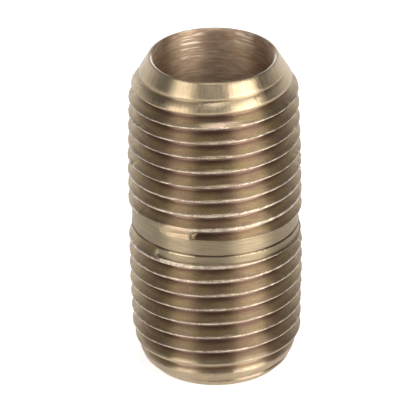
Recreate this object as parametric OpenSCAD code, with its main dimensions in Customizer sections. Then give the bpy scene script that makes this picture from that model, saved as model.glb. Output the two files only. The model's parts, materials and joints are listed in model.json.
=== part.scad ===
// Close pipe nipple: one piece of brass pipe, threaded from both ends, with a turned recess between.
// Frame: origin at the centre of the lower end face, +Z up along the bore, -Y to the front.

/* [Pipe] */
// Length from one end face to the other
overall_len = 19.9; // [16:0.1:26]
// Outside diameter of the pipe, which is also the largest crest diameter
pipe_d = 10.29; // [10:0.01:13]
// Diameter of the bore that runs right through
bore_d = 7.15; // [5:0.05:7.3]
// Width of the broken edge at each mouth of the bore
bore_break = 0.1; // [0.05:0.01:0.15]

/* [End chamfers] */
// Outer diameter of the flat end faces
end_face_d = 7.64; // [7.64:0.01:8.2]
// Angle between the upper chamfer and the axis
upper_chamfer_angle = 31; // [25:1:45]
// Angle between the lower chamfer and the axis
lower_chamfer_angle = 20.5; // [18:0.5:45]
// Height of the 45 degree bevel between the lower chamfer and the lower end face
lower_bevel = 0.58; // [0:0.01:0.6]

/* [Threads] */
// Threads in one inch of length
threads_per_inch = 27; // [24:1:32]
// Length over which the thread grows by one unit of diameter
taper_ratio = 16; // [12:1:32]
// Depth of the thread as a share of its pitch
depth_ratio = 0.76; // [0.7:0.01:0.8]
// Turns by which the thread is smaller than its basic gauge size
turns_small = 1; // [-1:0.1:1]
// Included angle of the thread
thread_angle = 60; // [55:1:60]
// Direction in which the lower thread's crest leaves the lower end face
lower_start_angle = -24; // [-180:1:180]
// Direction in which the upper thread's crest leaves the upper end face
upper_start_angle = 174; // [0:1:360]

/* [Recess] */
// Diameter of the turned recess between the threads
recess_d = 9.88; // [9.5:0.01:9.95]
// Width of the recess
recess_w = 1.55; // [1.3:0.05:2.5]
// Distance of the recess's middle below the middle of the length
recess_drop = 0.52; // [0:0.01:0.8]
// Height of the upper thread's last groove above the recess's upper edge
upper_stop_rise = 0.26; // [0.2:0.01:0.6]
// Height of the lower thread's last groove above the recess's lower edge
lower_stop_rise = 0.24; // [-0.4:0.01:0.3]
// Angle over which each last groove runs out
runout_angle = 8; // [8:1:40]

/* [Resolution] */
// Facets in one turn of the thread
turn_facets = 48; // [36:6:60]

/* [Hidden] */
brass = [0.71, 0.62, 0.42];
$fn = 96;

// Thread form
mm_per_inch = 25.4;
full_turn = 360;
pitch = mm_per_inch / threads_per_inch;
thread_depth = depth_ratio * pitch;
flank_slope = tan(thread_angle / 2);
flat_half = (pitch / 2 - thread_depth * flank_slope) / 2;
taper_slope = 1 / (2 * taper_ratio);

// Thread diameter in an end plane, by the rule for taper pipe threads
diameter_term = 0.05 / mm_per_inch;
pitch_term = 1.1;
basic_pitch_d = pipe_d - (diameter_term * pipe_d + pitch_term) * pitch;
end_pitch_d = basic_pitch_d - turns_small * pitch / taper_ratio;
end_crest_d = end_pitch_d + thread_depth;

// Heights along the axis
recess_lo = overall_len / 2 - recess_drop - recess_w / 2;
recess_hi = recess_lo + recess_w;
lower_stop_z = recess_lo + lower_stop_rise;
upper_stop_z = recess_hi + upper_stop_rise;

// Turned blank, which trims the threads to their ends and recess
blank_gap = 0.4;
blank_r = pipe_d / 2 + blank_gap;
upper_chamfer_len = (blank_r - end_face_d / 2) / tan(upper_chamfer_angle);
bevel_r = end_face_d / 2 + lower_bevel;
lower_chamfer_len = lower_bevel + (blank_r - bevel_r) / tan(lower_chamfer_angle);
bore_overrun = 1;

// Crest helices, counted in turns. The upper one is numbered on from the lower one by whole turns.
lower_start = lower_start_angle / full_turn;
upper_start = upper_start_angle / full_turn;
joined_turns = ceil(overall_len / pitch + lower_start - upper_start);
end_turns = 2;
steps = turn_facets * (joined_turns + 2 * end_turns);

// A groove lies half a turn past its crest. These are the turns at which the grooves stop.
lower_stop = lower_stop_z / pitch + lower_start - 1 / 2;
upper_stop = (upper_stop_z - overall_len) / pitch + upper_start + joined_turns - 1 / 2;
runout = runout_angle / full_turn;

function lower_z(turn) = pitch * (turn - lower_start);
function upper_z(turn) = overall_len + pitch * (turn - joined_turns - upper_start);

// Height of a point on the strip: plain between the last crest of one thread and of the other
function strip_z(turn) = turn <= lower_stop + 1 ? lower_z(turn)
    : turn >= upper_stop ? upper_z(turn)
    : lookup(turn, [[lower_stop + 1, lower_z(lower_stop + 1)], [upper_stop, upper_z(upper_stop)]]);

function from_end(z) = min(z, overall_len - z);
function taper_r(z) = end_crest_d / 2 + from_end(z) * taper_slope;
function crest_r(z) = min(pipe_d / 2, taper_r(z));
function crest_half(z) = flat_half + (taper_r(z) - crest_r(z)) * flank_slope;
function groove_share(turn) = max(
    min((lower_stop - turn) / runout, 1),
    min((turn - upper_stop) / runout, 1),
    0
);

function at(r, z, turn) = [r * sin(full_turn * turn), -r * cos(full_turn * turn), z];
function crest_point(turn, edge) =
    let (z = strip_z(turn + edge * crest_half(strip_z(turn)) / pitch))
    at(crest_r(z), z, turn);
function at_next_crest(turn) = crest_point(turn + 1, -1);
function root_point(turn, edge) =
    let (z = strip_z(turn + 1 / 2 + edge * flat_half / pitch))
    at(crest_r(z) - groove_share(turn) * (thread_depth + crest_r(z) - taper_r(z)), z, turn);
function strip_turn(step) = step / turn_facets - end_turns;

// Solid thread form, longer than the nipple: one strip of crest, flank, root and flank
module thread_form() {
    columns = 4;
    last = columns * (steps + 1);
    crest_rows = [for (i = [0 : steps]) let (t = strip_turn(i)) [
        crest_point(t, 1), root_point(t, -1), root_point(t, 1), at_next_crest(t)
    ]];
    closing = [for (i = [steps + 1 : steps + turn_facets]) crest_point(strip_turn(i), 1)];
    points = concat(
        [for (row = crest_rows, p = row) p],
        closing,
        [[0, 0, strip_z(-end_turns)], [0, 0, strip_z(joined_turns + end_turns + 1)]]
    );
    low_pole = len(points) - 2;
    high_pole = len(points) - 1;

    // Index of column j in row i. Column 4 is the first column one turn on.
    function id(i, j) = j == columns ? id(i + turn_facets, 0)
        : i <= steps ? columns * i + j : last + i - steps - 1;

    faces = concat(
        [for (i = [0 : steps - 1], j = [0 : columns - 1], half = [0, 1]) half == 0
            ? [id(i, j), id(i, j + 1), id(i + 1, j + 1)]
            : [id(i, j), id(i + 1, j + 1), id(i + 1, j)]],
        [for (i = [0 : turn_facets - 1]) [low_pole, id(i, 0), id(i + 1, 0)]],
        [for (j = [0 : columns - 1]) [low_pole, id(0, j + 1), id(0, j)]],
        [for (i = [0 : turn_facets - 1]) [high_pole, id(steps + i + 1, 0), id(steps + i, 0)]],
        [for (j = [0 : columns - 1]) [high_pole, id(steps, j), id(steps, j + 1)]]
    );
    polyhedron(points, faces);
}

// Envelope left by turning the ends and the recess
module turned_blank() {
    rotate_extrude() polygon([
        [0, 0],
        [end_face_d / 2, 0],
        [bevel_r, lower_bevel],
        [blank_r, lower_chamfer_len],
        [blank_r, recess_lo],
        [recess_d / 2, recess_lo],
        [recess_d / 2, recess_hi],
        [blank_r, recess_hi],
        [blank_r, overall_len - upper_chamfer_len],
        [end_face_d / 2, overall_len],
        [0, overall_len]
    ]);
}

module bore() {
    mouth_r = bore_d / 2 + bore_break;
    translate([0, 0, -bore_overrun]) cylinder(d = bore_d, h = overall_len + 2 * bore_overrun);
    translate([0, 0, -bore_break])
        cylinder(r1 = mouth_r + bore_break, r2 = bore_d / 2, h = 2 * bore_break);
    translate([0, 0, overall_len - bore_break])
        cylinder(r1 = bore_d / 2, r2 = mouth_r + bore_break, h = 2 * bore_break);
}

module nipple_body() {
    color(brass) difference() {
        intersection() {
            thread_form();
            turned_blank();
        }
        bore();
    }
}

nipple_body();
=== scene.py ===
"""A brass close pipe nipple: one turned and threaded piece, standing on its lower end."""

import json
import math
from types import SimpleNamespace

import bmesh
import bpy
import numpy as np
from mathutils import Matrix, Vector, noise


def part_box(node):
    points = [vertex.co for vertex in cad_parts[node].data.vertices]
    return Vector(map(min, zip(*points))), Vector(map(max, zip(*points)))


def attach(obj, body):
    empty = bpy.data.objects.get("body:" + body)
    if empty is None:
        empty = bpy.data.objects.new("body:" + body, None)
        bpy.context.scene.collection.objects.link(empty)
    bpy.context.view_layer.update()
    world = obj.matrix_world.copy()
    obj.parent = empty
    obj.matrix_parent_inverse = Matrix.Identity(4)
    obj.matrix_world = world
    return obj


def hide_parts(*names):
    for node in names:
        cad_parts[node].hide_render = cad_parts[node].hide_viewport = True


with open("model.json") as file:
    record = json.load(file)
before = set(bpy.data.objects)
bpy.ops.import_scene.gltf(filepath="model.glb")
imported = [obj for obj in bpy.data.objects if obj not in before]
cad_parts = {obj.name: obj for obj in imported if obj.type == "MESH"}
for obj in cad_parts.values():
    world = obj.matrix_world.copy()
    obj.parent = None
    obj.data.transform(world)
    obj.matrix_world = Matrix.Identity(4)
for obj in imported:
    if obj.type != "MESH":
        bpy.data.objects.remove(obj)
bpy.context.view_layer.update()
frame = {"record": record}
NODE = "nipple_body"
MM = 0.001
SEED = 17

# ---------------------------------------------------------------- sizes
# In mm and degrees. Angle 0 is in front, and angles grow towards +X.
box_low, box_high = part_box(NODE)
LENGTH = (box_high[2] - box_low[2]) / MM
PIPE_R = (box_high[0] - box_low[0]) / 2 / MM
MOUNTS = {mount["name"]: mount for mount in frame["record"]["mounts"]}
BORE_R = MOUNTS["bore"]["dims"]["r_mm"]

# Thread form
TURN = 360
PITCH = 25.4 / 27
THREAD_DEPTH = 0.76 * PITCH
HALF_ANGLE = 30
FLANK = math.tan(math.radians(HALF_ANGLE))
FLAT_HALF = (PITCH / 2 - THREAD_DEPTH * FLANK) / 2
CORNER_R = 0.03
CORNER_TURN = 90 - HALF_ANGLE
TAPER = 1 / 32
END_CREST_R = 4.9446
CREST_CLEARANCE = 0.004
LOWER_START = -24 / TURN
UPPER_START = 174 / TURN

# Ends
END_FACE_R = 3.82
UPPER_CHAMFER = math.tan(math.radians(31))
LOWER_CHAMFER = math.tan(math.radians(20.5))
LOWER_BEVEL = 0.58
MOUTH_BREAK = 0.1
MOUTH_R = BORE_R + MOUTH_BREAK
RIM_R = 0.03
RIM_SQUASH = 0.6
RIM_OUT = 0.005
SKIN_MARGIN = 0.03
BLANK_GAP = 0.02

# Turned recess (the neck), with a land below its scored line and a lower one above
NECK_WIDTH = 1.55
NECK_DROP = 0.52
NECK_LOW = LENGTH / 2 - NECK_DROP - NECK_WIDTH / 2
NECK_HIGH = NECK_LOW + NECK_WIDTH
NECK_MIDDLE = (NECK_LOW + NECK_HIGH) / 2
NECK_EDGE = 0.045
LAND_R = 4.965
NECK_R = 4.93
SCORE_Z = NECK_LOW + 0.53
SCORE_HALF = 0.065
SCORE_DEPTH = 0.12

# Where the last grooves stop, and the shallow tail that the upper one leaves past its stop
LOWER_STOP_Z = NECK_LOW + 0.24
UPPER_STOP_Z = NECK_HIGH + 0.26
LOWER_RUNOUT = 9 / TURN
UPPER_RUNOUT = 2 / TURN
TAIL_LENGTH = 30 / TURN
TAIL_SHARE = 0.38

# Helices, counted in turns. A groove lies half a turn past its crest.
END_TURNS = 2
JOINED = math.ceil(LENGTH / PITCH + LOWER_START - UPPER_START)
LOWER_STOP = LOWER_STOP_Z / PITCH + LOWER_START - 0.5
UPPER_STOP = (UPPER_STOP_Z - LENGTH) / PITCH + UPPER_START + JOINED - 0.5
UPPER_STOP_ANGLE = (UPPER_STOP % 1 - 1) * TURN

# Mesh: the steps keep the piece just under 200,000 triangles. Tolerances are in metres.
TURN_STEPS = 216
WALL_ROWS = 40
SLICE_TOLERANCE = 1e-8
MERGE_DISTANCE = 2e-7

# Wear of the crests: noise scales, the levels at which marks start, and depths
WEAR_REACH = 0.12
WAVE_SCALE, WAVE_DEPTH = 1.3, 0.012
NICK_SCALE, NICK_LEVEL, NICK_DEPTH = 3.1, 0.3, 0.16
CHIP_SCALE, CHIP_LEVEL, CHIP_DEPTH = 7.3, 0.25, 0.07


# ---------------------------------------------------------------- thread and blank
def smooth(low, high, value):
    t = np.clip((value - low) / (high - low), 0, 1)
    return t * t * (3 - 2 * t)


def strip_z(turn):
    """Height along the strip: each thread keeps its own pitch, and the neck takes up the rest."""
    lower = PITCH * (turn - LOWER_START)
    upper = LENGTH + PITCH * (turn - JOINED - UPPER_START)
    first, last = LOWER_STOP + 1, UPPER_STOP
    share = np.clip((turn - first) / (last - first), 0, 1)
    low_z = PITCH * (first - LOWER_START)
    high_z = LENGTH + PITCH * (last - JOINED - UPPER_START)
    between = low_z + share * (high_z - low_z)
    return np.where(turn <= first, lower, np.where(turn >= last, upper, between))


def taper_r(z):
    return END_CREST_R + np.minimum(z, LENGTH - z) * TAPER


def crest_r(z):
    return np.minimum(PIPE_R - CREST_CLEARANCE, taper_r(z))


def groove_share(turn):
    """Depth of the groove as a share of the full one."""
    lower = np.clip((LOWER_STOP - turn) / LOWER_RUNOUT, 0, 1)
    upper = np.clip((turn - UPPER_STOP) / UPPER_RUNOUT, 0, 1)
    tail = TAIL_SHARE * smooth(UPPER_STOP - TAIL_LENGTH, UPPER_STOP - TAIL_LENGTH / 4, turn)
    return np.maximum(np.maximum(lower, upper), tail)


def neck_top(angle):
    """Upper edge of the neck: level in front, then climbing under the last crest round the back."""
    climb_start, fall, below_crest = -40, 6, 0.1
    around = (np.degrees(angle) - climb_start) % TURN + climb_start
    crest_at_stop = UPPER_STOP_Z - PITCH / 2
    under_crest = crest_at_stop + PITCH * (around - UPPER_STOP_ANGLE) / TURN - below_crest
    drop = smooth(TURN + climb_start - fall, TURN + climb_start, around)
    return np.maximum(NECK_HIGH, under_crest * (1 - drop) + NECK_HIGH * drop)


def score_line(z):
    """1 at the bottom of the scored line, falling to 0 at its edges."""
    return np.clip(1 - np.abs(z - SCORE_Z) / SCORE_HALF, 0, 1)


def blank_r(z, angle):
    """The turned blank: end chamfers, and the neck with its lands and its scored line."""
    upper_cone = END_FACE_R + (LENGTH - z) * UPPER_CHAMFER
    lower_cone = END_FACE_R + LOWER_BEVEL + (z - LOWER_BEVEL) * LOWER_CHAMFER
    bevel = END_FACE_R + z
    cone = np.minimum(np.minimum(upper_cone, lower_cone), bevel)
    top = neck_top(angle)
    inside = smooth(NECK_LOW - NECK_EDGE, NECK_LOW + NECK_EDGE, z)
    inside = inside * (1 - smooth(top - NECK_EDGE, top + NECK_EDGE, z))
    above_score = smooth(SCORE_Z - SCORE_HALF, SCORE_Z + SCORE_HALF, z)
    floor_r = LAND_R + (NECK_R - LAND_R) * above_score - SCORE_DEPTH * score_line(z)
    outside = PIPE_R + BLANK_GAP
    return np.minimum(cone, outside - inside * (outside - floor_r))


def corner(angle):
    """Offset and drop at an angle round the rounded corner of a crest or a root."""
    a = math.radians(angle)
    return CORNER_R * (math.sin(a) - FLANK), CORNER_R * (1 - math.cos(a))


def half_profile():
    """Points from a crest's centre to the next root's centre, as kinds with two numbers each."""
    points = [("crest centre", 0.0, 0.0)]
    points += [("crest", *corner(angle)) for angle in (0, CORNER_TURN / 2, CORNER_TURN)]
    points += [("flank", share, 0.0) for share in (0.1, 0.5, 0.9)]
    points += [("root", *corner(angle)) for angle in (CORNER_TURN, 0)]
    return points + [("root centre", 0.0, 0.0)]


def profile_point(kind, a, b, crest_half, depth):
    """Offset from the crest's centre and depth below the crest, for arrays of thread sizes."""
    offset, drop = corner(CORNER_TURN)
    start = crest_half + offset, drop
    end = PITCH / 2 - FLAT_HALF - offset, depth - drop
    if kind == "crest centre":
        return 0 * crest_half, 0 * depth
    if kind == "crest":
        return crest_half + a, b + 0 * depth
    if kind == "flank":
        return start[0] + a * (end[0] - start[0]), start[1] + a * (end[1] - start[1])
    if kind == "root":
        return PITCH / 2 - FLAT_HALF - a + 0 * depth, depth - b
    return PITCH / 2 + 0 * depth, depth


def thread_skin():
    """Radii and heights of the skin's points: rows go round the helix, columns across one pitch."""
    steps = TURN_STEPS * (JOINED + 2 * END_TURNS)
    turns = np.arange(steps + 1) / TURN_STEPS - END_TURNS
    rising = half_profile()
    falling = rising[-2:0:-1]
    columns = []
    for k, (kind, a, b) in enumerate(rising + falling):
        mirrored = k >= len(rising)
        centre = turns + (1 if mirrored else 0)
        z0 = strip_z(centre)
        depth = THREAD_DEPTH + crest_r(z0) - taper_r(z0)
        crest_half = FLAT_HALF + (taper_r(z0) - crest_r(z0)) * FLANK
        offset, drop = profile_point(kind, a, b, crest_half, depth)
        z = strip_z(centre + (-offset if mirrored else offset) / PITCH)
        radius = crest_r(z) - groove_share(turns) * drop
        columns.append((radius, z))
    return turns, columns


# ---------------------------------------------------------------- mesh
def build_skin(bm):
    turns, columns = thread_skin()
    rows, width = len(turns), len(columns)
    angle = 2 * math.pi * turns
    grid = np.empty((rows, width, 3))
    for j, (radius, z) in enumerate(columns):
        grid[:, j, 0] = radius * np.sin(angle)
        grid[:, j, 1] = -radius * np.cos(angle)
        grid[:, j, 2] = z
    verts = [[bm.verts.new(grid[i, j] * MM) for j in range(width)] for i in range(rows)]
    for i in range(rows - 1):
        above = i + TURN_STEPS
        for j in range(width):
            if j < width - 1:
                corners = (verts[i][j], verts[i + 1][j], verts[i + 1][j + 1], verts[i][j + 1])
            elif above + 1 < rows:
                corners = (verts[i][j], verts[i + 1][j], verts[above + 1][0], verts[above][0])
            else:
                continue
            bm.faces.new(corners)


def slice_ring(bm, height, normal=(0, 0, 1), clear=False):
    """Cuts a ring of edges into the skin, and on request clears what lies beyond it."""
    bmesh.ops.bisect_plane(
        bm,
        geom=bm.verts[:] + bm.edges[:] + bm.faces[:],
        dist=SLICE_TOLERANCE,
        plane_co=(0, 0, height * MM),
        plane_no=normal,
        clear_outer=clear,
    )


def slice_neck(bm):
    """Extra rings where the neck has edges that the thread's own rows would miss."""
    for edge in (NECK_LOW, NECK_HIGH):
        for offset in (-NECK_EDGE, 0, NECK_EDGE):
            slice_ring(bm, edge + offset)
    for share in (-1, -0.5, 0, 0.5, 1):
        slice_ring(bm, SCORE_Z + share * SCORE_HALF)


def cylinder_coordinates(bm):
    xyz = np.array([v.co[:] for v in bm.verts]) / MM
    return np.hypot(xyz[:, 0], xyz[:, 1]), np.arctan2(xyz[:, 0], -xyz[:, 1]), xyz[:, 2]


def turn_blank(bm):
    """Cuts the threads back to the turned blank."""
    radius, angle, z = cylinder_coordinates(bm)
    kept = np.minimum(radius, blank_r(z, angle)) / radius
    for vert, share in zip(bm.verts, kept):
        vert.co.x *= share
        vert.co.y *= share


def wear_crests(bm):
    """Nicks and a slight waviness along the crests, always inwards."""
    radius, angle, z = cylinder_coordinates(bm)
    below = np.where(blank_r(z, angle) < crest_r(z), 1, crest_r(z) - radius)
    for vert, depth in zip(bm.verts, below):
        if depth > WEAR_REACH:
            continue
        point = vert.co / MM + Vector((SEED, 0, 0))
        wave = noise.noise(point * WAVE_SCALE) * 0.5 + 0.5
        nick = max(0.0, noise.noise(point * NICK_SCALE) - NICK_LEVEL)
        chip = max(0.0, noise.noise(point * CHIP_SCALE) - CHIP_LEVEL)
        inward = WAVE_DEPTH * wave + NICK_DEPTH * nick + CHIP_DEPTH * chip
        inward *= 1 - depth / WEAR_REACH
        share = 1 - inward * MM / math.hypot(vert.co.x, vert.co.y)
        vert.co.x *= share
        vert.co.y *= share


def end_profile():
    """Points on an end, as distance from its plane and radius: rim, flat, broken edge, bore."""
    rim = []
    for angle in (25, 50, 75):
        a = math.radians(angle)
        inward = RIM_R * RIM_SQUASH * (1 - math.cos(a))
        rim.append((RIM_R * (1 - math.sin(a)), END_FACE_R - inward + RIM_OUT))
    flat = [(0, MOUTH_R + 0.06), (0, MOUTH_R + 0.02)]
    broken_edge = [(0.008, MOUTH_R), (0.03, MOUTH_R - 0.025), (MOUTH_BREAK - 0.01, BORE_R + 0.01)]
    return rim + flat + broken_edge + [(MOUTH_BREAK + 0.03, BORE_R)]


def build_bore(bm):
    """Both end faces and the bore's wall. Returns the outermost ring at each end."""
    near = end_profile()
    first = near[-1][0]
    step = (LENGTH - 2 * first) / WALL_ROWS
    wall = [(first + step * k, BORE_R) for k in range(1, WALL_ROWS)]
    path = near + wall + [(LENGTH - z, r) for z, r in reversed(near)]
    rings = []
    for z, r in path:
        ring = []
        for s in range(TURN_STEPS):
            a = 2 * math.pi * s / TURN_STEPS
            ring.append(bm.verts.new((r * math.sin(a) * MM, -r * math.cos(a) * MM, z * MM)))
        rings.append(ring)
    for low, high in zip(rings, rings[1:]):
        for s in range(TURN_STEPS):
            n = (s + 1) % TURN_STEPS
            bm.faces.new((low[s], high[s], high[n], low[n]))
    return rings[0], rings[-1]


def loop_edges(ring):
    pairs = zip(ring, ring[1:] + ring[:1])
    return [edge for a, b in pairs for edge in a.link_edges if b in edge.verts]


def cut_edges(bm, upper):
    """Open edges left where the skin was cut off at its upper or lower end."""
    middle = LENGTH * MM / 2
    return [
        edge for edge in bm.edges
        if edge.is_boundary and all((vert.co.z > middle) == upper for vert in edge.verts)
    ]


def make_nipple():
    bm = bmesh.new()
    build_skin(bm)
    slice_neck(bm)
    slice_ring(bm, SKIN_MARGIN, (0, 0, -1), clear=True)
    slice_ring(bm, LENGTH - SKIN_MARGIN, clear=True)
    turn_blank(bm)
    wear_crests(bm)
    bmesh.ops.remove_doubles(bm, verts=bm.verts[:], dist=MERGE_DISTANCE)
    cut_low, cut_high = cut_edges(bm, upper=False), cut_edges(bm, upper=True)
    low_ring, high_ring = build_bore(bm)
    bmesh.ops.bridge_loops(bm, edges=cut_low + loop_edges(low_ring))
    bmesh.ops.bridge_loops(bm, edges=cut_high + loop_edges(high_ring))
    bmesh.ops.recalc_face_normals(bm, faces=bm.faces[:])
    masks = surface_masks(*cylinder_coordinates(bm))
    mesh = bpy.data.meshes.new("nipple_visual")
    bm.to_mesh(mesh)
    bm.free()
    for name, values in masks.items():
        attribute = mesh.attributes.new(name, "FLOAT", "POINT")
        attribute.data.foreach_set("value", values.astype(np.float32))
    for polygon in mesh.polygons:
        polygon.use_smooth = True
    piece = bpy.data.objects.new("nipple_visual", mesh)
    bpy.context.scene.collection.objects.link(piece)
    return piece


# ---------------------------------------------------------------- masks for the material
# How near a point lies to a surface that it counts as part of, in mm
BORE_REACH = 0.03
END_FACE_REACH = 0.05
TURNED_CUT = 0.02
TURNED_REACH = 0.03
CHAMFER_REACH = 2.6
NECK_REACH = 1.6
UPPER_PART = NECK_HIGH + 1

# How clean each surface is. The threads are 0.
UPPER_CLEAN = 1.0
LOWER_CLEAN = 0.3
LAND_CLEAN = 0.62

# Fades by depth in the groove, where 0 is the crest and 1 the root
LAND_FADE = (0.05, 0.3)
CREST_FADE = (0.01, 0.09)
COPPER_HIGHLIGHT_FADE = (0.02, 0.1)
SHADE_FADE = (0.1, 0.4)

# Marks by angle: the plain land that ends at the upper groove's stop, and the painted shade past it
LAND_HALF = 0.62
LAND_START = -62
LAND_END = UPPER_STOP_ANGLE - 0.5
LAND_OLIVE_END = (-38, -30)
# The land's coppery part, painted brighter as a highlight where the left lamp's band falls
COPPER_HIGHLIGHT_START = (-40, -31)
SHADE_HALF = 0.45
SHADE_START = (-2.5, -1)
SHADE_END = (4, 30)
SHADE_STRENGTH = 0.75

# The burr under the scored line, painted pale as a highlight only at the angles where the side
# lamps' bands fall: first angle, last angle and strength
BURR_HIGHLIGHT_REACH = 0.04
BURR_HIGHLIGHTS = ((-34, -14, 1.0), (9, 38, 0.6))

# The painted highlight on the lip of the mouth: a pale reflection on its front sides only, by sine
# and cosine of the angle
LIP_HIGHLIGHT_REACH = 0.03
LIP_HIGHLIGHT_SIDES = (0.6, 0.75)
LIP_HIGHLIGHT_FRONT = (-0.2, 0.1)

# Chatter marks in the bore, painted as pale highlights where they catch the light: first edge and
# last edge in angle, lower edge below the mouth, strength
CHATTER_HIGHLIGHTS = (
    ((-175, -165), (-153, -145), (1.9, 1.5), 1.0),
    ((135, 142), (155, 162), (1.1, 0.7), 0.7),
)


def surface_masks(radius, angle, z):
    """Which surface each point belongs to, how worn or clean it is, and the marks on it."""
    degrees = np.degrees(angle)
    from_end = np.minimum(z, LENGTH - z)
    blank, crests = blank_r(z, angle), crest_r(z)
    below_skin = np.minimum(crests, blank) - radius

    bore = radius < MOUTH_R + BORE_REACH
    end_face = from_end < END_FACE_REACH
    turned = (blank < crests - TURNED_CUT) & (below_skin < TURNED_REACH) | end_face
    chamfer = turned & (from_end < CHAMFER_REACH) & ~bore
    neck = turned & ~chamfer & (np.abs(z - NECK_MIDDLE) < NECK_REACH)
    groove = np.where(bore | end_face, 0, np.clip(below_skin / THREAD_DEPTH, 0, 1))
    land = (degrees > LAND_START) & (degrees < LAND_END) & ~turned
    land = land & (np.abs(z - UPPER_STOP_Z) < LAND_HALF)

    clean_turned = np.where(z > UPPER_PART, UPPER_CLEAN, LOWER_CLEAN)
    clean_land = np.where(land, LAND_CLEAN * (1 - smooth(*LAND_FADE, groove)), 0)
    clean = np.where(turned, clean_turned, clean_land)
    crest = np.where(turned | land, 0, 1 - smooth(*CREST_FADE, groove))
    # Painted highlight: coppery tone on the land, bright where the left lamp's band falls
    copper = land * smooth(*COPPER_HIGHLIGHT_START, degrees) * (1 - smooth(*COPPER_HIGHLIGHT_FADE, groove))

    # Painted highlight: a pale reflection on the front sides of the upper mouth's lip
    front_sides = smooth(*LIP_HIGHLIGHT_SIDES, np.abs(np.sin(angle))) * smooth(*LIP_HIGHLIGHT_FRONT, np.cos(angle))
    lip = front_sides * end_face * (z > LENGTH / 2) * (np.abs(radius - MOUTH_R) < LIP_HIGHLIGHT_REACH)

    # Painted shade in the groove past the upper groove's stop
    past_stop = degrees - UPPER_STOP_ANGLE
    shade = smooth(*SHADE_START, past_stop) * (1 - smooth(*SHADE_END, past_stop))
    shade = SHADE_STRENGTH * shade * smooth(*SHADE_FADE, groove)
    shade = shade * (np.abs(z - UPPER_STOP_Z) < SHADE_HALF) * ~turned
    dark = np.maximum(neck * score_line(z), shade)

    neck = np.maximum(neck, land * (1 - smooth(*LAND_OLIVE_END, degrees)))
    # Painted highlight: the burr under the scored line is pale only at the lit angles
    burr = neck * (np.abs(z - SCORE_Z + SCORE_HALF) < BURR_HIGHLIGHT_REACH) * sum(
        strength * ((degrees > first) & (degrees < last)) for first, last, strength in BURR_HIGHLIGHTS
    )
    # Painted highlight on the chatter marks, in two places below the upper mouth
    chatter = bore * sum(
        strength * smooth(*first, degrees) * (1 - smooth(*last, degrees)) * smooth(*low, LENGTH - z)
        for first, last, low, strength in CHATTER_HIGHLIGHTS
    )
    return {
        "groove": groove, "chamfer": chamfer, "bore": bore, "clean": clean, "neck": neck,
        "crest": crest, "lip": lip, "dark": dark, "burr": burr, "copper": copper,
        "chatter": chatter,
    }


# ---------------------------------------------------------------- material
# Colours: the turned faces, the neck, the grooves, the rubbed crests and the bore
TURNED = (0.40, 0.31, 0.195, 1), (0.53, 0.42, 0.285, 1)
OLIVE = (0.275, 0.22, 0.146, 1), (0.375, 0.30, 0.198, 1)
# Pale colour of the burr, a painted highlight
BURR_HIGHLIGHT = (0.82, 0.68, 0.47, 1)
COPPERY, GOLDEN = (0.39, 0.275, 0.21, 1), (0.475, 0.385, 0.225, 1)
STAIN = (0.25, 0.19, 0.15, 1)
# Painted glints in the grooves
GLINT = (0.62, 0.49, 0.37, 1)
DARKER_LOW = (0.22, 0.175, 0.14, 1)
ROOT = (0.225, 0.15, 0.12, 1)
RUBBED = (0.32, 0.25, 0.19, 1), (0.66, 0.56, 0.44, 1)
# Painted sparkles on the rubbed crests
SPARK = (1.0, 0.93, 0.82, 1)
# Colour of the scored line and of the painted shade past the upper groove's stop
DARK = (0.14, 0.095, 0.07, 1)
# Coppery land, painted bright as a highlight
COPPER_HIGHLIGHT = (0.60, 0.44, 0.31, 1)
BORE_WALL = (0.56, 0.40, 0.285, 1), (0.72, 0.56, 0.41, 1)
# Near-white painted highlight on the chatter marks in the bore
PAINTED_CHATTER_HIGHLIGHT = (1.0, 0.92, 0.78, 1)
PIT = (0.16, 0.11, 0.08, 1)
# Near-white painted highlight on the lip of the mouth
PAINTED_LIP_HIGHLIGHT = (0.98, 0.94, 0.89, 1)

# Roughness
THREAD_ROUGH, CLEAN_ROUGH, NECK_ROUGH, BORE_ROUGH = 0.37, 0.30, 0.45, 0.72
ROUGH_SPREAD = 0.15

# Relief, in mm
STREAK_RELIEF = 0.008
RING_RELIEF = 0.03
LAY_RELIEF = 0.02
GRAIN_RELIEF = 0.016

MASKS = (
    "groove", "chamfer", "bore", "clean", "neck", "crest", "lip", "dark", "burr", "copper",
    "chatter",
)


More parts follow.
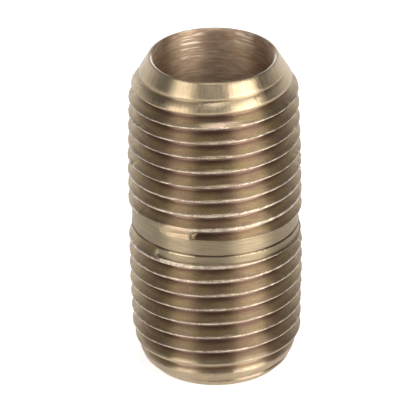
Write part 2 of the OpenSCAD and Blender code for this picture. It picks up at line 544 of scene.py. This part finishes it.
class Nodes:
    """Short calls for the nodes of one tree."""

    def __init__(self, tree):
        self.tree = tree

    def link(self, value, socket):
        if isinstance(value, bpy.types.NodeSocket):
            self.tree.links.new(value, socket)
        else:
            socket.default_value = value

    def add(self, kind, **settings):
        node = self.tree.nodes.new(kind)
        for name, value in settings.items():
            setattr(node, name, value)
        return node

    def math(self, operation, a, b):
        node = self.add("ShaderNodeMath", operation=operation)
        self.link(a, node.inputs[0])
        self.link(b, node.inputs[1])
        return node.outputs[0]

    def vector(self, operation, a, b=(0, 0, 0)):
        node = self.add("ShaderNodeVectorMath", operation=operation)
        self.link(a, node.inputs[0])
        self.link(b, node.inputs[1])
        return node.outputs[0]

    def axis(self, vector, name):
        node = self.add("ShaderNodeSeparateXYZ")
        self.link(vector, node.inputs[0])
        return node.outputs[name]

    def attribute(self, name):
        return self.add("ShaderNodeAttribute", attribute_name=name).outputs["Fac"]

    def noise(self, vector, scale, detail, roughness=0.55):
        node = self.add("ShaderNodeTexNoise")
        self.link(vector, node.inputs["Vector"])
        node.inputs["Scale"].default_value = scale
        node.inputs["Detail"].default_value = detail
        node.inputs["Roughness"].default_value = roughness
        return node.outputs["Fac"]

    def ramp(self, value, low, high, first=0.0, last=1.0, kind="LINEAR"):
        """From the first value where the input is low to the last one where it is high."""
        node = self.add("ShaderNodeMapRange", interpolation_type=kind)
        self.link(value, node.inputs["Value"])
        node.inputs["From Min"].default_value = low
        node.inputs["From Max"].default_value = high
        node.inputs["To Min"].default_value = first
        node.inputs["To Max"].default_value = last
        return node.outputs["Result"]

    def step(self, value, low, high, most=1.0):
        return self.ramp(value, low, high, 0.0, most, "SMOOTHSTEP")

    def mix(self, factor, a, b):
        """From colour a to colour b."""
        node = self.add("ShaderNodeMix", data_type="RGBA")
        self.link(factor, node.inputs["Factor"])
        self.link(a, node.inputs[6])
        self.link(b, node.inputs[7])
        return node.outputs[2]

    def blend(self, factor, a, b):
        """From number a to number b."""
        node = self.add("ShaderNodeMix", data_type="FLOAT")
        self.link(factor, node.inputs["Factor"])
        self.link(a, node.inputs[2])
        self.link(b, node.inputs[3])
        return node.outputs[0]

    def centred(self, value, spread):
        """A pattern between 0 and 1, moved to lie about 0 and scaled."""
        return self.math("MULTIPLY", self.math("SUBTRACT", value, 0.5), spread)

    def bump(self, height, relief_mm, normal=None):
        node = self.add("ShaderNodeBump")
        node.inputs["Distance"].default_value = relief_mm * MM
        self.link(height, node.inputs["Height"])
        if normal:
            self.link(normal, node.inputs["Normal"])
        return node.outputs["Normal"]


def brass_patterns(n, masks):
    """Noise in mm: even in all directions, or stretched round the axis or along it."""
    place = n.vector("MULTIPLY", n.add("ShaderNodeTexCoord").outputs["Object"], (1 / MM,) * 3)
    flat = n.vector("MULTIPLY", place, (1, 1, 0))
    height = n.vector("MULTIPLY", place, (0, 0, 1))
    around = n.vector("MULTIPLY", n.vector("NORMALIZE", flat), (PIPE_R,) * 3)

    def stretched(across, along, scale, detail, roughness):
        side = n.vector("MULTIPLY", around, (across, across, 0))
        up = n.vector("MULTIPLY", height, (1, 1, along))
        return n.noise(n.vector("ADD", side, up), scale, detail, roughness)

    patterns = SimpleNamespace(
        height_mm=n.axis(place, "Z"),
        blotch=n.noise(place, 0.9, 4),
        fine=n.noise(place, 5.5, 3),
        grain=n.noise(place, 16, 2),
        speck=n.noise(place, 8, 2),
        sparkle=n.noise(place, 1.9, 5, 0.75),
        streak=stretched(across=1, along=0.08, scale=10, detail=4, roughness=0.7),
        ring=stretched(across=0.2, along=1.6, scale=4.5, detail=2, roughness=0.5),
        arc=stretched(across=0.1, along=1.2, scale=4.5, detail=1, roughness=0.5),
        lay=stretched(across=0.5, along=9, scale=1.6, detail=3, roughness=0.6),
    )
    patterns.uneven = n.blend(masks.chamfer, patterns.fine, patterns.streak)
    return patterns


def groove_colour(n, masks, patterns):
    """Tarnish in coppery and golden patches with stains, painted glints, and colour that darkens
    towards the root and towards the bottom.
    """
    golden = n.step(n.blend(0.5, patterns.lay, patterns.blotch), 0.38, 0.58)
    brown = n.mix(golden, COPPERY, GOLDEN)
    brown = n.mix(n.step(patterns.fine, 0.35, 0.75, most=0.25), brown, STAIN)
    brown = n.mix(n.step(patterns.grain, 0.45, 0.7, most=0.4), brown, STAIN)
    # Painted glints
    brown = n.mix(n.step(patterns.grain, 0.45, 0.3, most=0.35), brown, GLINT)
    # Darker towards the bottom, from 8 mm down
    brown = n.mix(n.step(patterns.height_mm, 8.0, 1.0, most=0.25), brown, DARKER_LOW)
    return n.mix(n.step(masks.groove, 0.45, 1.0), brown, ROOT)


def outside_colour(n, masks, patterns):
    """Threads, turned faces and neck, with their marks, painted highlights and painted shade."""
    finish = n.blend(masks.chamfer, patterns.blotch, patterns.streak)
    turned = n.mix(n.step(finish, 0.3, 0.7), *TURNED)
    wear = n.math("ADD", masks.clean, n.centred(patterns.uneven, n.blend(masks.chamfer, 0.4, 0.15)))
    colour = n.mix(n.step(wear, 0.1, 0.9), groove_colour(n, masks, patterns), turned)

    rubbed_and_sparkles = n.mix(n.step(patterns.sparkle, 0.38, 0.66), *RUBBED)
    # Painted highlight: sparkles on the rubbed crests
    rubbed_and_sparkles = n.mix(n.step(patterns.grain, 0.58, 0.66), rubbed_and_sparkles, SPARK)
    colour = n.mix(masks.crest, colour, rubbed_and_sparkles)

    olive = n.mix(n.step(patterns.lay, 0.3, 0.7), *OLIVE)
    # Painted highlight on the burr under the scored line
    burr = n.math("ADD", masks.burr, n.math("SUBTRACT", patterns.fine, 0.5))
    olive = n.mix(n.step(burr, 0.45, 0.75), olive, BURR_HIGHLIGHT)
    colour = n.mix(masks.neck, colour, olive)
    # The scored line and the painted shade past the upper groove's stop
    colour = n.mix(masks.dark, colour, DARK)
    # Painted highlight: bright coppery streaks on the land
    return n.mix(n.math("MULTIPLY", masks.copper, n.step(patterns.lay, 0.35, 0.6)), colour, COPPER_HIGHLIGHT)


def brass_colour(n, masks, patterns):
    inside = n.mix(n.step(patterns.ring, 0.35, 0.7), *BORE_WALL)
    # Painted highlight: pale arcs on the chatter marks
    arcs = n.math("MULTIPLY", masks.chatter, n.step(patterns.arc, 0.5, 0.62))
    inside = n.mix(arcs, inside, PAINTED_CHATTER_HIGHLIGHT)
    colour = n.mix(masks.bore, outside_colour(n, masks, patterns), inside)
    specks = n.math("MULTIPLY", masks.chamfer, n.step(patterns.speck, 0.58, 0.7))
    pits = n.math("MAXIMUM", n.step(patterns.grain, 0.64, 0.76), specks)
    colour = n.mix(n.math("MULTIPLY", pits, 0.35), colour, PIT)
    # Painted highlight on the lip of the mouth
    return n.mix(masks.lip, colour, PAINTED_LIP_HIGHLIGHT)


def brass_roughness(n, masks, patterns):
    rough = n.blend(masks.clean, THREAD_ROUGH, CLEAN_ROUGH)
    rough = n.blend(masks.neck, rough, NECK_ROUGH)
    rough = n.blend(masks.bore, rough, BORE_ROUGH)
    return n.math("ADD", rough, n.centred(patterns.uneven, ROUGH_SPREAD))


def brass_relief(n, masks, patterns):
    """Streaks on the chamfers, rings in the bore, lay elsewhere, and grain on the crests."""
    elsewhere = n.math("SUBTRACT", 1.0, n.math("ADD", masks.bore, masks.chamfer))
    grain_share = n.blend(masks.crest, 0.3, 1.0)
    relief = n.bump(n.math("MULTIPLY", patterns.streak, masks.chamfer), STREAK_RELIEF)
    relief = n.bump(n.math("MULTIPLY", patterns.ring, masks.bore), RING_RELIEF, relief)
    relief = n.bump(n.math("MULTIPLY", patterns.lay, elsewhere), LAY_RELIEF, relief)
    return n.bump(n.math("MULTIPLY", patterns.grain, grain_share), GRAIN_RELIEF, relief)


def make_brass():
    """Aged brass: clean where it was turned or rubs, brown in the grooves, satin in the bore."""
    material = bpy.data.materials.new("aged_brass")
    material.use_nodes = True
    shader = material.node_tree.nodes["Principled BSDF"]
    n = Nodes(material.node_tree)
    masks = SimpleNamespace(**{name: n.attribute(name) for name in MASKS})
    patterns = brass_patterns(n, masks)
    n.link(brass_colour(n, masks, patterns), shader.inputs["Base Color"])
    n.link(brass_roughness(n, masks, patterns), shader.inputs["Roughness"])
    n.link(brass_relief(n, masks, patterns), shader.inputs["Normal"])
    # The painted highlight on the lip is not metallic, so it keeps its pale colour
    n.link(n.math("SUBTRACT", 1.0, masks.lip), shader.inputs["Metallic"])
    tangent = n.add("ShaderNodeTangent", direction_type="RADIAL", axis="Z")
    n.link(tangent.outputs[0], shader.inputs["Tangent"])
    shader.inputs["Anisotropic"].default_value = 0.95
    shader.inputs["Anisotropic Rotation"].default_value = 0.25
    return material


nipple = make_nipple()
nipple.data.materials.append(make_brass())
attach(nipple, "root")
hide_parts(NODE)


# ---------------------------------------------------------------- floor, light and camera
# Metres and degrees, but mm for the camera's target, view width and sensor
FLOOR_HALF = 3.0
FLOOR_GREY = (0.75, 0.75, 0.75, 1)
FLOOR_GLOW = 0.68
FLOOR_ROUGH = 0.9
WARM = (1.0, 0.965, 0.90)

CAMERA_ELEVATION, CAMERA_ROLL = 27.0, 0.8
CAMERA_DISTANCE = 0.4
CAMERA_TARGET = (-0.455, 0, 9.912)
VIEW_WIDTH = 24.5853
SENSOR = 36

WORLD_COLOUR = (0.97, 0.98, 1.0, 1)
WORLD_DIM, WORLD_SWEEP = 0.14, 1.5
SWEEP_BEHIND = (0.05, 0.85)
SWEEP_LOW = (0.6, 0.2)


def make_floor():
    bm = bmesh.new()
    bmesh.ops.create_grid(bm, x_segments=8, y_segments=8, size=FLOOR_HALF)
    mesh = bpy.data.meshes.new("floor")
    bm.to_mesh(mesh)
    bm.free()
    floor = bpy.data.objects.new("floor", mesh)
    floor.location.z = box_low[2]
    bpy.context.scene.collection.objects.link(floor)
    material = bpy.data.materials.new("pale_floor")
    material.use_nodes = True
    shader = material.node_tree.nodes["Principled BSDF"]
    shader.inputs["Base Color"].default_value = FLOOR_GREY
    shader.inputs["Roughness"].default_value = FLOOR_ROUGH
    shader.inputs["Emission Color"].default_value = (1, 1, 1, 1)
    shader.inputs["Emission Strength"].default_value = FLOOR_GLOW
    floor.data.materials.append(material)


def area_light(name, azimuth, elevation, distance, width, height, radiance, colour=(1, 1, 1)):
    """A soft box aimed at the nipple. Radiance 1 shows as white."""
    a, e = math.radians(azimuth), math.radians(elevation)
    centre = Vector((0, 0, LENGTH / 2 * MM))
    outwards = Vector((math.sin(a) * math.cos(e), -math.cos(a) * math.cos(e), math.sin(e)))
    data = bpy.data.lights.new(name, "AREA")
    data.shape = "RECTANGLE"
    data.size, data.size_y = width, height
    data.energy = radiance * math.pi * width * height
    data.color = colour
    light = bpy.data.objects.new(name, data)
    light.location = centre + distance * outwards
    light.rotation_mode = "QUATERNION"
    light.rotation_quaternion = (centre - light.location).to_track_quat("-Z", "Y")
    bpy.context.scene.collection.objects.link(light)


def make_camera():
    elevation, roll = math.radians(CAMERA_ELEVATION), math.radians(CAMERA_ROLL)
    back = Vector((0, -math.cos(elevation), math.sin(elevation)))
    up = Vector((0, math.sin(elevation), math.cos(elevation)))
    right = Vector((1, 0, 0))
    turned_right = right * math.cos(roll) - up * math.sin(roll)
    turned_up = right * math.sin(roll) + up * math.cos(roll)
    data = bpy.data.cameras.new("camera")
    data.sensor_width = SENSOR
    data.lens = CAMERA_DISTANCE / MM / VIEW_WIDTH * SENSOR
    data.clip_start = 0.01
    data.clip_end = 20
    camera = bpy.data.objects.new("camera", data)
    axes = Matrix((turned_right, turned_up, back)).transposed()
    position = Vector(CAMERA_TARGET) * MM + back * CAMERA_DISTANCE
    camera.matrix_world = Matrix.Translation(position) @ axes.to_4x4()
    bpy.context.scene.collection.objects.link(camera)
    bpy.context.scene.camera = camera


def make_world():
    """Dim studio with a bright sweep low down behind the object. Seen directly, it is pale."""
    world = bpy.data.worlds.new("studio")
    world.use_nodes = True
    background = world.node_tree.nodes["Background"]
    n = Nodes(world.node_tree)
    direction = n.add("ShaderNodeTexCoord").outputs["Generated"]
    behind = n.ramp(n.axis(direction, "Y"), *SWEEP_BEHIND)
    low = n.ramp(n.axis(direction, "Z"), *SWEEP_LOW)
    level = n.ramp(n.math("MULTIPLY", behind, low), 0, 1, WORLD_DIM, WORLD_SWEEP)
    seen = n.math("MAXIMUM", level, n.add("ShaderNodeLightPath").outputs["Is Camera Ray"])
    n.link(seen, background.inputs["Strength"])
    background.inputs["Color"].default_value = WORLD_COLOUR
    bpy.context.scene.world = world


make_floor()
make_camera()
make_world()
area_light(
    "left_panel", azimuth=-50, elevation=17, distance=0.30,
    width=0.17, height=0.20, radiance=3.8, colour=WARM,
)
area_light(
    "right_panel", azimuth=48, elevation=17, distance=0.30,
    width=0.22, height=0.20, radiance=6.8, colour=WARM,
)
area_light(
    "front_panel", azimuth=5, elevation=52, distance=0.35, width=0.30, height=0.14, radiance=0.5
)
area_light(
    "top_panel", azimuth=0, elevation=88, distance=0.35, width=0.10, height=0.10, radiance=12.0
)
bpy.context.scene.view_settings.view_transform = "Standard"
